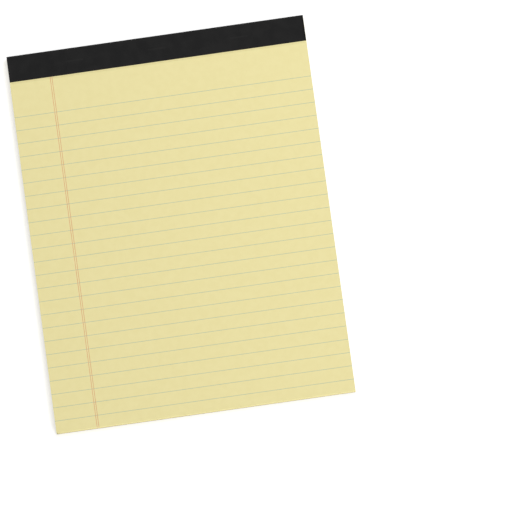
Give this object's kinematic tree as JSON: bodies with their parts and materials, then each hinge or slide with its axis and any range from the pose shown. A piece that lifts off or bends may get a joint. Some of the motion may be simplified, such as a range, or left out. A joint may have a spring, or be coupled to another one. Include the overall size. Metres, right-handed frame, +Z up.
{
  "type": "legal pad",
  "caption": "Letter-size ruled writing pad with a double margin line, chipboard back, wire stitched head and folded black binding tape.",
  "frame": {"origin": "middle of the pad's underside, on the plane it rests on", "axes": "+Z up out of the writing face, +Y towards the bound head, +X across the lines to the right of someone writing"},
  "size_m": [0.216, 0.2796, 0.0061],
  "materials": {
    "sheet_paper": "matte",
    "chipboard": "matte",
    "binding_tape": "matte",
    "ruling_ink": "matte",
    "margin_ink": "matte",
    "stitching_wire": "satin"
  },
  "bodies": {
    "root": {"sheets": "sheet_paper", "backing_board": "chipboard", "binding_tape": "binding_tape", "ruled_lines": "ruling_ink", "margin_lines": "margin_ink", "wire_stitch_1": "stitching_wire", "wire_stitch_2": "stitching_wire", "wire_stitch_3": "stitching_wire"}
  },
  "joints": []
}
